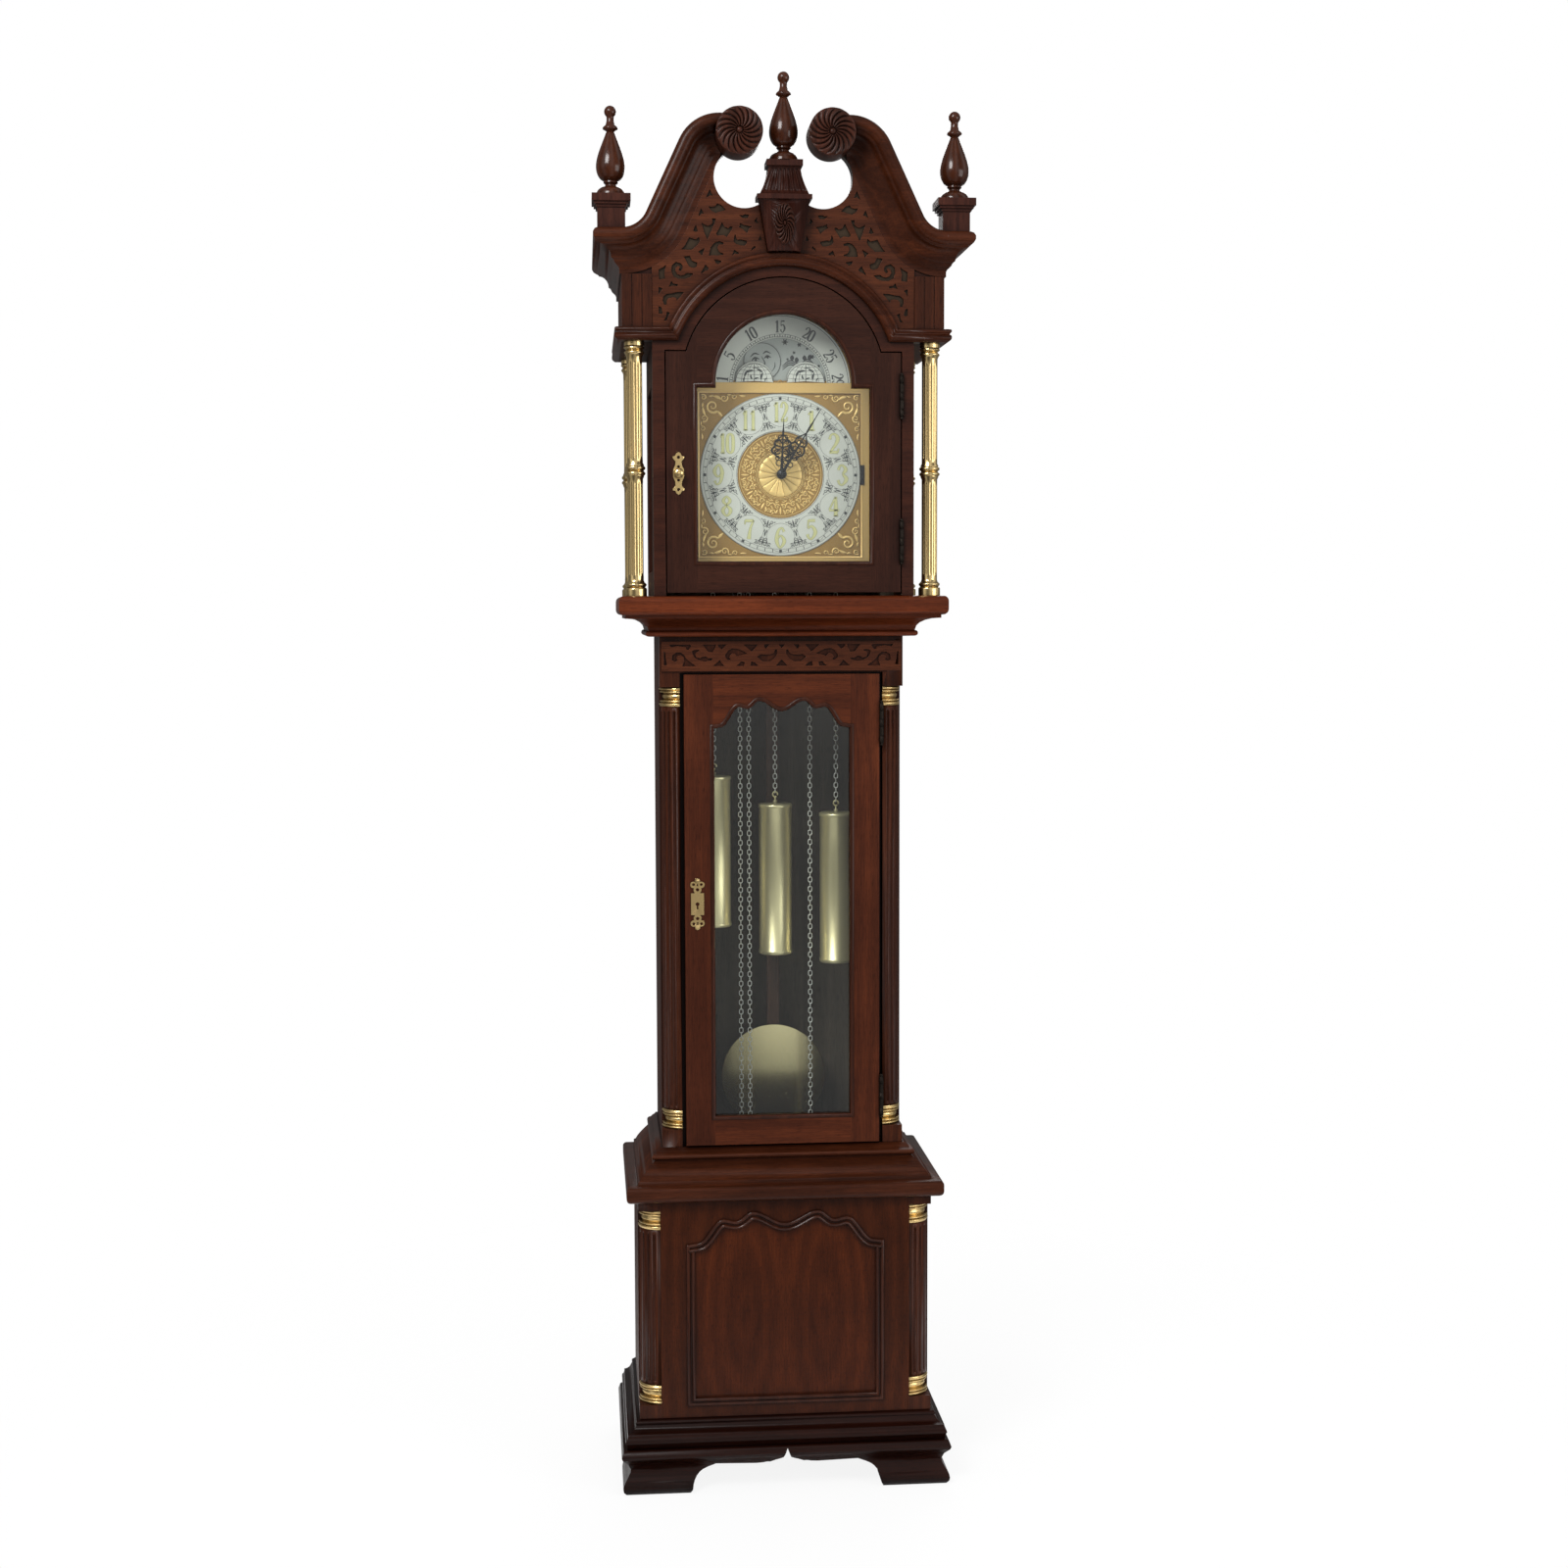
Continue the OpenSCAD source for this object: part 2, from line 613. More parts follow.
// Pierced fretwork, laid on the tympanum and on the frieze
module fret_panels() {
    k = frieze_h / 46;
    color([0.45, 0.22, 0.13]) in_case() {
        facing(hood_d, fret_t) both_sides() difference() {
            tympanum(0.2);
            intersection() {
                tympanum(fret_edge);
                translate([0, z_fret]) for (cut = fret_cuts) polygon(cut);
            }
        }
        facing(trunk_d, fret_t) translate([0, frieze_z]) difference() {
            translate([-trunk_hw + 3, 0]) square([trunk_w - 6, frieze_h]);
            both_sides() intersection() {
                translate([0, 4]) square([trunk_hw - 7, frieze_h - 8]);
                for (cut = frieze_cuts) polygon([for (q = cut) [q[0], q[1] * k]]);
            }
            for (cut = frieze_middle) polygon([for (q = cut) [q[0], q[1] * k]]);
        }
    }
}

// Rounded base board of the hood, with the cove that joins it to the trunk
function hood_edge_profile() = let (e = hood_edge, z0 = z_hood_board, z1 = z_hood)
    concat([[trunk_hw - hood_hw - 60, z0]], arc(e - 8, z0 + 8, 8, -90, 0, 4),
        arc(e - 8, z1 - 8, 8, 0, 90, 4), [[trunk_hw - hood_hw - 60, z1]]);
function throat_profile() = let (z0 = z_hood_board - throat_h, z1 = z_hood_board,
        w = cornice_hw - trunk_hw - 2)
    concat([[0, z0]], arc(16.5, z0 + 5, 4.5, -90, 90, 5), [for (i = [0:5]) let (a = 18 * i)
        [w - 3 - (w - 20) * cos(a), z0 + 11 + (throat_h - 16) * sin(a)]],
        [[w, z1 - 5], [w, z1], [0, z1]]);

module hood_base() {
    color([0.38, 0.15, 0.09]) in_case() {
        wrap(hood_edge_profile(), cornice_hw - 2, hood_d - 2);
        wrap(throat_profile(), trunk_hw, trunk_d);
    }
}

// Hood sides, each with a let-in panel
side_t = 16;
access_y = [60, 235];
access_z = [z_hood + 38, z_hood + 318];
module hood_sides() {
    color([0.3, 0.14, 0.08]) in_case() both_sides() {
        difference() {
            board(hood_hw - side_t, hood_hw, -hood_d + hood_board, 0, z_hood, z_impost);
            board(hood_hw - side_t - 1, hood_hw + 1, -access_y[1], -access_y[0], access_z[0],
                access_z[1]);
        }
        board(hood_hw - 11, hood_hw - 5, -access_y[1], -access_y[0], access_z[0], access_z[1]);
    }
}

// Opening of the hood front that the arched door closes
module hood_opening(gap) {
    hw = hood_door_hw + gap;
    translate([-hw, z_hood - 1]) square([hw * 2, door_shoulder_z + gap - z_hood + 1]);
    intersection() {
        translate([0, arch_z]) circle(hood_arch_r + gap);
        translate([-hw, z_hood]) square([hw * 2, z_crown - z_hood]);
    }
}

// One board from the columns to the swan necks
module hood_front() {
    color([0.33, 0.23, 0.14]) in_case() facing(hood_d - hood_board, hood_board) difference() {
        union() {
            translate([-hood_hw, z_hood]) square([hood_w, z_impost - z_hood + 1]);
            neck_field(-0.5);
        }
        hood_opening(hood_gap);
        both_sides() {
            translate([cutout_x, cutout_z]) circle(cutout_r);
            translate([-1, pedestal_foot_z]) square([cutout_x + 1, z_neck]);
            translate([-1, cutout_z]) square([rosette_x + 1, z_neck]);
        }
    }
}

// Reeded blocks under the ends of the crown
module pilasters() {
    w = cornice_hw - hood_hw;
    rib = w / 3;
    color([0.28, 0.12, 0.07]) in_case() both_sides() facing(hood_d, 4.5)
        for (i = [0:2]) translate([hood_hw + 0.4 + i * rib, z_fret + 0.2])
            square([rib - (i < 2 ? 1.4 : 0.4), fret_h - 0.4]);
    color([0.28, 0.12, 0.07]) in_case() both_sides() facing(hood_d, 3)
        translate([hood_hw + 0.4, z_fret + 0.2]) square([w - 0.8, fret_h - 0.4]);
}

// Impost moulding: along both sides, in at the front, and up over the arch
function impost_profile() = concat([[0, 0], [6, 0]],
    arc(impost_out - 6, 6.5, 6, -70, 30, 4), [[impost_out - 3, 11], [impost_out - 2, 13]],
    arc(impost_out - 3, impost_h - 3, 3, -40, 90, 3), [[0, impost_h]]);

module impost_moulding() {
    band = [for (q = impost_profile()) [q[0], z_impost + q[1]]];
    mitre_x = sqrt(pow(fret_arch_r, 2) - pow(z_fret - arch_z, 2));
    start_x = sqrt(pow(impost_r, 2) - pow(z_impost - arch_z, 2));
    color([0.3, 0.12, 0.07]) in_case() {
        difference() {
            wrap(band, cornice_hw, hood_d);
            facing(hood_d - 1, impost_out + 2) polygon([[-mitre_x, z_fret + 1], [mitre_x, z_fret + 1],
                [mitre_x, z_fret], [start_x, z_impost], [start_x, z_impost - 1],
                [-start_x, z_impost - 1], [-start_x, z_impost], [-mitre_x, z_fret]]);
        }
        intersection() {
            translate([0, -hood_d, arch_z]) rotate([90, 0, 0]) rotate_extrude($fn = 96)
                polygon([for (q = impost_profile()) [impost_r + q[1] * 20 / impost_h, q[0]]]);
            facing(hood_d - 1, impost_out + 2) polygon([[-mitre_x, z_fret], [-start_x, z_impost],
                [start_x, z_impost], [mitre_x, z_fret], [mitre_x, z_crown + 60],
                [-mitre_x, z_crown + 60]]);
            facing(hood_d - 1, impost_out + 2)
                translate([-cornice_hw, z_impost]) square([cornice_w, 300]);
        }
    }
}

// Soffits, side boards and roof board of the cornice box, open to the wall side at the back board
roof_t = 12;
module cornice_box() {
    y0 = -hood_d + hood_board;
    color([0.3, 0.14, 0.08]) in_case() {
        both_sides() {
            board(hood_hw - side_t, cornice_hw, y0, 0, z_impost, z_fret);
            board(cornice_hw - side_t, cornice_hw, y0, 0, z_fret, z_top - roof_t);
        }
        board(-cornice_hw, cornice_hw, y0, 0, z_top - roof_t, z_top);
    }
}

// Crown profile: projection, and distance down from the top edge, in steps of 0.01 so that joints match
function crown_profile() = let (k = crown_h / 63, o = crown_out / 42, points = concat(
        [[0, 0], [29 * o, 0]], [for (a = [-75:30:75]) [(32 + 10 * cos(a)) * o, (10 + 10 * sin(a)) * k]],
        [[31 * o, 21.5 * k]], [for (i = [0:5]) let (a = 18 * i)
            [(31 - 16 * sin(a)) * o, (41 - 18 * cos(a)) * k]],
        [[12 * o, 43 * k]], sway(11 * o, 45 * k, 3 * o, 56 * k, 4),
        [[3 * o, crown_h], [0, crown_h]]))
    [for (q = points) [round(q[0] * 100) / 100, round(q[1] * 100) / 100]];

// The crown's returns along the sides, and the necks that sweep from the corners to the rosettes
module crown_return() {
    intersection() {
        rotate([90, 0, 0]) linear_extrude(hood_d + crown_out + 1)
            polygon([for (q = crown_profile()) [cornice_hw + q[0], z_top - q[1]]]);
        translate([0, 0, z_crown - 1]) linear_extrude(crown_h + 2) polygon([[cornice_hw - 1, 0],
            [cornice_hw - 1, -hood_d + 1], [cornice_hw + crown_out + 1, -hood_d - crown_out - 1],
            [cornice_hw + crown_out + 1, 0]]);
    }
}

module swan_neck() {
    difference() {
        union() {
            intersection() {
                along_x(neck_low_x, cornice_hw + crown_out + 1)
                    polygon([for (q = crown_profile()) [-hood_d - q[0], z_top - q[1]]]);
                translate([0, 0, z_crown - 1]) linear_extrude(crown_h + 2) polygon([
                    [0, -hood_d + 1], [cornice_hw - 1, -hood_d + 1],
                    [cornice_hw + crown_out + 1, -hood_d - crown_out - 1],
                    [0, -hood_d - crown_out - 1]]);
            }
            translate([neck_low_x, -hood_d, z_top + neck_low_r]) rotate([90, 0, 0])
                rotate([0, 0, 270 - neck_angle]) {
                    rotate_extrude(angle = neck_angle)
                        polygon([for (q = crown_profile()) [neck_low_r + q[1], q[0]]]);
                    rotate([90, 0, 0]) linear_extrude(neck_straight)
                        polygon([for (q = crown_profile()) [neck_low_r + q[1], q[0]]]);
                    translate([neck_low_r + neck_high_r, -neck_straight]) rotate([0, 0, 180])
                        rotate_extrude(angle = neck_angle + 12)
                            polygon([for (q = crown_profile()) [neck_high_r - q[1], q[0]]]);
                }
        }
        rod_y(rosette_x, rosette_z, hood_d - 1, crown_out + 3, rosette_r + slip);
        rod_y(cutout_x, cutout_z, hood_d - 1, crown_out + 3, cutout_r);
    }
}

module crown_mouldings() {
    color([0.31, 0.13, 0.08]) in_case() both_sides() {
        crown_return();
        swan_neck();
    }
}

// Carved rosettes: a thick block faced with curved petals round a button
petals = 18;
module petal(r, n) {
    steps = 7;
    function blade(t, lead) = let (a = 78 * t + lead, s = r * (0.16 + 0.8 * t)) s * [cos(a), sin(a)];
    gap = 300 / n;
    polygon(concat([for (i = [0:steps]) blade(i / steps, 0)],
        [for (i = [steps:-1:0]) blade(i / steps, gap * (0.55 + 0.3 * i / steps))]));
}

module rosettes() {
    color([0.24, 0.12, 0.09]) in_case() both_sides() translate([rosette_x, 0, rosette_z]) {
        rod_y(0, 0, hood_d, rosette_out - 4, rosette_r);
        facing(hood_d + rosette_out - 4, 3)
            for (i = [0:petals - 1]) rotate(360 / petals * i) petal(rosette_r, petals);
        translate([0, -hood_d - rosette_out + 4, 0]) rotate([90, 0, 0])
            cylinder(h = 4, r1 = rosette_r * 0.14, r2 = rosette_r * 0.08);
    }
}

// Plinths of the side finials, scribed to the sweep of the neck
module finial_plinths() {
    color([0.22, 0.1, 0.07]) in_case() both_sides() {
        intersection() {
            board(plinth_x - plinth_hw, plinth_x + plinth_hw, -finial_y - plinth_hw,
                -finial_y + plinth_hw, z_top, z_top + plinth_body_h);
            union() {
                rod_y(neck_low_x, z_top + neck_low_r, finial_y - 30, 60, neck_low_r - 0.1);
                board(neck_low_x, plinth_x + plinth_hw + 1, -finial_y - 30, -finial_y + 30, z_top,
                    z_top + plinth_body_h);
            }
        }
        for (step = [[2, 0, 4], [5, 4, 8], [8, 8, plinth_cap_h]])
            board(plinth_x - plinth_hw - step[0], plinth_x + plinth_hw + step[0],
                -finial_y - plinth_hw - step[0], -finial_y + plinth_hw + step[0],
                z_top + plinth_body_h + step[1], z_top + plinth_body_h + step[2]);
    }
}

// Turned finial: domed foot, thin neck, vase, collar and ball
function finial_profile() = let (k = finial_h / 130)
    concat([[0, 0], [22, 0]], arc(9, 0, 13, 15, 70, 4), [[9, 13.5], [8, 16 * k], [11, 19 * k]],
        [for (i = [0:11]) let (t = i / 11)
            [10.5 + 13.4 * sin(180 * pow(t, 0.67)) * (1 - 0.2 * t) - 4 * t, (21 + 70 * t) * k]],
        [[5.5, 93 * k], [8, 95 * k], [11, 97 * k], [11, 99 * k], [7, 103 * k], [5.5, 109 * k],
            [5.5, 112 * k]],
        arc(0, finial_h - 9, 9, -55, 90, 7));

module finials() {
    side_z = z_top + plinth_body_h + plinth_cap_h;
    color([0.4, 0.2, 0.12]) in_case() {
        both_sides() translate([plinth_x, -finial_y, side_z]) rotate_extrude()
            polygon(finial_profile());
        translate([0, -finial_y, pedestal_cap_z + pedestal_cap_h]) rotate_extrude()
            polygon(finial_profile());
    }
}

// Centre pedestal: keystone with an oval patera, fluted neck and cap
module pedestal() {
    z0 = pedestal_low_z + 1;
    z1 = pedestal_foot_z;
    neck_z = z1 + 7;
    neck_h = pedestal_cap_z - neck_z;
    flare = concat([[37, neck_z - 1]],
        [for (i = [0:6]) let (t = i / 6) [37 - 13 * sin(90 * t), neck_z + neck_h * t]],
        [[24, pedestal_cap_z + 1]]);
    patera_z = (z0 + z1) / 2 + 2;
    color([0.24, 0.11, 0.07]) in_case() {
        facing(hood_d, pedestal_d) difference() {
            polygon([[-keystone_foot_hw, z0], [keystone_foot_hw, z0], [keystone_top_hw, z1],
                [keystone_top_hw, z1 + 1], [-keystone_top_hw, z1 + 1], [-keystone_top_hw, z1]]);
            translate([0, arch_z]) circle(fret_arch_r + 0.2, $fn = 96);
        }
        board(-keystone_top_hw - 3, keystone_top_hw + 3, -hood_d - pedestal_d - 4, -hood_d + 16,
            z1, neck_z);
        difference() {
            facing(hood_d - 14, pedestal_d + 14) polygon(concat(flare, flip(flare)));
            for (i = [-3:3]) hull() {
                rod_y(i * 9, neck_z + 7, hood_d + pedestal_d - 1.5, 5, 3);
                rod_y(i * 6, pedestal_cap_z - 5, hood_d + pedestal_d - 1.5, 5, 2);
            }
        }
        board(-27, 27, -hood_d - pedestal_d - 6, -hood_d + 16, pedestal_cap_z,
            pedestal_cap_z + pedestal_cap_h);
        translate([0, 0, patera_z]) facing(hood_d + pedestal_d, 3) intersection() {
            scale([0.5, 1]) circle(30);
            for (i = [0:15]) rotate(22.5 * i) petal(34, 16);
        }
    }
}

// Turned and fluted brass columns, four of them
function column_profile() = let (f = column_foot_r, s = column_r, h = hood_h, m = hood_h * 0.494)
    concat([[0, 0], [f, 0], [f, 7]], arc(f - 3, 10, 3, 0, 90, 3), [[f - 2, 14]],
        arc(f - 3, 17, 2.5, -60, 60, 3), [[s + 1, 21], [s, 24], [s, m - 12], [s + 1.5, m - 9]],
        arc(f - 4, m - 4, 3, -70, 70, 3), [[s + 1, m]], arc(f - 4, m + 4, 3, -70, 70, 3),
        [[s + 1.5, m + 9], [s, m + 12], [s, h - 24], [s + 1, h - 21]],
        arc(f - 4, h - 17, 2.5, -60, 60, 3), [[f - 4, h - 13]],
        arc(f - 4, h - 10, 3, 0, 90, 3), [[f - 1.5, h - 7], [f - 1.5, h], [0, h]]);

module column() {
    m = hood_h * 0.494;
    difference() {
        rotate_extrude() polygon(column_profile());
        for (i = [0:11], part = [[30, m - 46], [m + 16, hood_h - m - 46]])
            rotate([0, 0, 30 * i]) translate([column_r + 0.9, 0, part[0]])
                cylinder(h = part[1], r = 2.1, $fn = 16);
    }
}

module hood_columns() {
    color([0.85, 0.66, 0.3]) in_case() both_sides()
        for (y = [column_front, column_back]) translate([column_x, -y, z_hood]) column();
}

// Seat board on two bearers, slotted for the chains and the pendulum
slot_w = 13;
module seat_board() {
    hw = hood_hw - side_t;
    color([0.45, 0.3, 0.18]) in_case() {
        difference() {
            board(-hw, hw, -front_plate_y - 42, -48, seat_z, seat_z + seat_t);
            for (i = [0:2], x = [weight_x[i], tail_x(i)])
                board(x - slot_w / 2, x + slot_w / 2, -train_y - slot_w / 2, -train_y + slot_w / 2,
                    seat_z - 1, seat_z + seat_t + 1);
            board(-34, 34, -pendulum_y - 16, -40, seat_z - 1, seat_z + seat_t + 1);
        }
        both_sides() board(hw - 20, hw, -front_plate_y - 42, -48, z_hood, seat_z);
    }
}

// Dial plate with a raised border, an arch with a window for the moon, and four feet
module moon_window(r) {
    difference() {
        intersection() {
            translate([0, dial_top_z]) circle(r, $fn = 96);
            translate([-r, dial_top_z + 3]) square([2 * r, r]);
        }
        both_halves() translate([globe_x, dial_top_z + 3]) circle(globe_r + 0.5);
    }
}

module arch_half(r) {
    intersection() {
        translate([0, dial_top_z]) circle(r, $fn = 120);
        translate([-r, dial_top_z + 0.2]) square([2 * r, r]);
    }
}

lever_x = chapter_r + 2.6;
foot_x = dial_w / 2 - 50;
module dial_plate() {
    z0 = dial_z - dial_w / 2;
    foot_z = dial_y - dial_t - front_plate_y - plate_t;
    color([0.86, 0.65, 0.3]) in_case() {
        facing(dial_y - dial_t, dial_t) difference() {
            union() {
                translate([-dial_w / 2, z0]) square([dial_w, dial_w]);
                arch_half(moon_arch_r);
                translate([-20, dial_z]) square([40, dial_w / 2 + 1]);
            }
            moon_window(moon_window_r + 4);
            translate([0, dial_z]) circle(6.2);
            translate([lever_x, dial_z]) square([5, 44], center = true);
            translate([0, dial_top_z]) circle(2 + pivot_gap);
        }
        facing(dial_y, 2.5) difference() {
            translate([-dial_w / 2, z0]) square(dial_w);
            translate([lever_x, dial_z]) square([5, 44], center = true);
            translate([-dial_w / 2 + border_w, z0 + border_w])
                square([dial_w - 2 * border_w, dial_w - 2 * border_w + 4]);
            translate([-moon_arch_r - 0.3, dial_top_z - border_w + 4])
                square([2 * moon_arch_r + 0.6, border_w]);
        }
        for (x = [-foot_x, foot_x], z = [-foot_x, foot_x])
            rod_y(x, dial_z + z, front_plate_y + plate_t, foot_z, 4);
    }
}

// Silvered rings: the chapter ring, and the moon's calendar arch with its two half globes
module dial_rings() {
    color([0.85, 0.86, 0.86]) in_case() facing(dial_y, ring_t) {
        translate([0, dial_z]) difference() {
            circle(chapter_r - 0.4, $fn = 120);
            circle(centre_r, $fn = 96);
        }
        difference() {
            arch_half(moon_arch_r);
            translate([0, dial_top_z]) circle(moon_window_r, $fn = 96);
        }
        both_halves() intersection() {
            translate([globe_x, dial_top_z + 3]) circle(globe_r);
            translate([0, dial_top_z + 3]) square(2 * globe_r + globe_x);
        }
    }
}

// Moon disc behind the dial, with two raised moons, turning on its stud
moon_y = dial_y - dial_t - 3;
moon_orbit = 42;
moon_face_r = 29;
moon_turn = 130;
module moon_disc() {
    color([0.75, 0.78, 0.8]) in_case() {
        facing(moon_y, 1.5) translate([0, dial_top_z]) circle(moon_r, $fn = 96);
        facing(moon_y + 1.5, 1) for (a = [moon_turn, moon_turn + 180])
            translate([moon_orbit * cos(a), dial_top_z + moon_orbit * sin(a)]) circle(moon_face_r);
        rod_y(0, dial_top_z, moon_y - 3, dial_t + 7, 2);
    }
}

// Outline of a pierced hand, pointing up from its hub: rings strung on a tapered stem
module hand_outline(len, hub, wide, rings) {
    difference() {
        union() {
            circle(hub);
            polygon([[-wide, hub * 0.7], [wide, hub * 0.7], [0.7, len - 8], [0, len],
                [-0.7, len - 8]]);
            for (q = rings) both_halves() translate([q[0], len * q[1]]) circle(q[2], $fn = 24);
        }
        for (q = rings) both_halves() translate([q[0], len * q[1]]) circle(q[2] - 1.5, $fn = 24);
    }
}

module hour_hand() {
    tube = front_plate_y + plate_t + 2;
    color([0.05, 0.05, 0.05]) in_case() difference() {
        union() {
            translate([0, 0, dial_z]) rotate([0, hour_angle, 0]) facing(hour_y, hand_t)
                hand_outline(hour_len, 7.5, 1.8, [[4.6, 0.2, 5], [5.4, 0.36, 6], [6.6, 0.52, 7.2],
                    [3.4, 0.66, 4.2]]);
            rod_y(0, dial_z, tube, hour_y - tube + hand_t / 2, 5.4);
        }
        rod_y(0, dial_z, tube - 1, hour_y - tube + 3, 2.5 + pivot_gap);
    }
}

module minute_hand() {
    arbor = back_plate_y - 1;
    color([0.05, 0.05, 0.05]) in_case() {
        translate([0, 0, dial_z]) rotate([0, minute_angle, 0]) facing(minute_y, hand_t)
            hand_outline(minute_len, 6, 1.6, [[4, 0.16, 4.4], [4.4, 0.27, 4.8], [3.2, 0.38, 4],
                [2.6, 0.47, 3.4]]);
        rod_y(0, dial_z, arbor, minute_y - arbor, 2.5);
        translate([0, -minute_y - hand_t, dial_z]) rotate([90, 0, 0]) rotate_extrude()
            polygon(concat([[0, 0], [7.6, 0]], arc(4.6, 1, 3, 0, 75, 4), [[2, 6], [0, 6]]));
    }
}

// Lever in its slot at the right of the dial
module chime_lever() {
    color([0.06, 0.06, 0.06]) in_case() {
        facing(dial_y + 3, 1.5) translate([lever_x - 0.5, dial_z]) square([6, 30], center = true);
        facing(dial_y - dial_t - 6, dial_t + 9) translate([lever_x, dial_z])
            square([3.6, 12], center = true);
    }
}

// Plates, pillars, suspension cock and the hammers' brackets
module movement_frame() {
    pillar_x = plate_hw - 24;
    cock_z = anchor_z + 12;
    color([0.8, 0.62, 0.3]) in_case() {
        for (y = [back_plate_y, front_plate_y]) difference() {
            facing(y, plate_t) translate([-plate_hw, plate_z]) square([2 * plate_hw, plate_h]);
            rod_y(0, dial_z, y - 1, plate_t + 2, 2.5 + pivot_gap);
            rod_y(0, escape_z, y - 1, plate_t + 2, 1.5 + pivot_gap);
            rod_y(0, anchor_z, y - 1, plate_t + 2, 2 + pivot_gap);
            for (i = [0:2]) rod_y(wheel_x(i), wheel_z, y - 1, plate_t + 2, 3 + pivot_gap);
        }
        for (x = [-pillar_x, pillar_x], z = [plate_z + 10, plate_z + plate_h - 10])
            translate([x, -back_plate_y - plate_t, z]) rotate([90, 0, 0])
                rotate_extrude() polygon([[0, 0], [6, 0], [6, 6], [4, 9], [4, plate_gap - 12],
                    [6, plate_gap - 9], [6, plate_gap - plate_t], [0, plate_gap - plate_t]]);
        board(-16, 16, -back_plate_y, -pendulum_y + 8, cock_z, cock_z + 5);
        board(-9, 9, -pendulum_y - 5, -pendulum_y + 5, anchor_z, cock_z);
        both_sides() difference() {
            board(84, 87, -back_plate_y, -46, hammer_z - 8, hammer_z + 8);
            translate([83, -54, hammer_z]) rotate([0, 90, 0]) cylinder(h = 5, r = 2.5 + pivot_gap);
        }
    }
}

// Tuned rods hanging from an iron block on the back board
rod_count = 8;
rod_pitch = 17;
module chime_rods() {
    block_z = z_hood + 255;
    color([0.35, 0.34, 0.33]) in_case() {
        board(-80, 80, -chime_y - 12, -back_t, block_z, block_z + 22);
        for (i = [0:rod_count - 1])
            translate([(i - (rod_count - 1) / 2) * rod_pitch, -chime_y, block_z - 300 - 9 * i])
                cylinder(h = 300 + 9 * i, r = 2, $fn = 24);
    }
}

// Hammers on one arbor, their heads just off the rods
module chime_hammers() {
    color([0.7, 0.55, 0.3]) in_case() {
        translate([-84 - 3, -54, hammer_z]) rotate([0, 90, 0]) cylinder(h = 174, r = 2.5);
        for (i = [0:rod_count - 1]) let (x = (i - (rod_count - 1) / 2) * rod_pitch) {
            board(x - 1.5, x + 1.5, -55.5, -52.5, hammer_z + 1, hammer_z + 42);
            translate([x, -chime_y - 3, hammer_z + 44]) rotate([90, 0, 0])
                cylinder(h = 19, r = 4, $fn = 24);
        }
    }
}

// Escape wheel: thirty pointed teeth, four arms
module escape_wheel() {
    teeth = 30;
    tip = 20;
    color([0.82, 0.66, 0.34]) in_case() {
        facing(train_y + 20, 2) translate([0, escape_z]) difference() {
            polygon([for (i = [0:teeth - 1], q = [[0, tip - 3.6], [0.18, tip], [0.3, tip - 3.6]])
                let (a = 360 / teeth * (i + q[0] * 1.6)) q[1] * [cos(a), sin(a)]]);
            for (i = [0:3]) rotate(90 * i) polygon([[3.5, 2.2], [11, 2.2], [9, 7.5], [7.5, 9],
                [2.2, 11], [2.2, 3.5]]);
        }
        rod_y(0, escape_z, back_plate_y + 0.5, plate_gap + plate_t - 1, 1.5);
    }
}

// Pallet anchor on its arbor, with the crutch that swings with the pendulum
module pallet_anchor() {
    color([0.62, 0.63, 0.65]) in_case() {
        facing(train_y + 20, 2) translate([0, anchor_z]) {
            difference() {
                circle(5);
                circle(1.9);
            }
            both_sides() polygon([[1.8, 4], [9, 2], [20, -9], [22, -19], [19.5, -17], [17, -9],
                [8, -1.5], [3, -2]]);
        }
        rod_y(0, anchor_z, back_plate_y - 6, plate_gap + plate_t + 5, 2);
        facing(back_plate_y - 6, 3) translate([0, anchor_z]) polygon([[-3, 3], [3, 3], [2, -62],
            [-2, -62]]);
        rod_y(0, anchor_z - 58, pendulum_y - 8, back_plate_y - pendulum_y + 4, 1.5);
    }
}

// Pendulum: suspension spring, hook and wooden rod, with a slot for the crutch pin
rod_half = 10;
rod_t = 8;
bob_t = 16;
module pendulum_rod() {
    top_z = anchor_z - 34;
    y = -pendulum_y;
    color([0.38, 0.22, 0.14]) in_case() {
        difference() {
            board(-rod_half, rod_half, y - rod_t / 2, y + rod_t / 2, bob_z - bob_r + 10, top_z);
            board(-1.6, 1.6, y - rod_t, y + rod_t, anchor_z - 66, anchor_z - 50);
        }
        translate([0, y, bob_z - bob_r - 24]) cylinder(h = 36, r = 2, $fn = 24);
    }
    color([0.7, 0.7, 0.72]) in_case() {
        board(-4, 4, y - 0.4, y + 0.4, top_z + 6, anchor_z - slip);
        board(-6, 6, y - 2.5, y + 2.5, top_z, top_z + 8);
    }
}

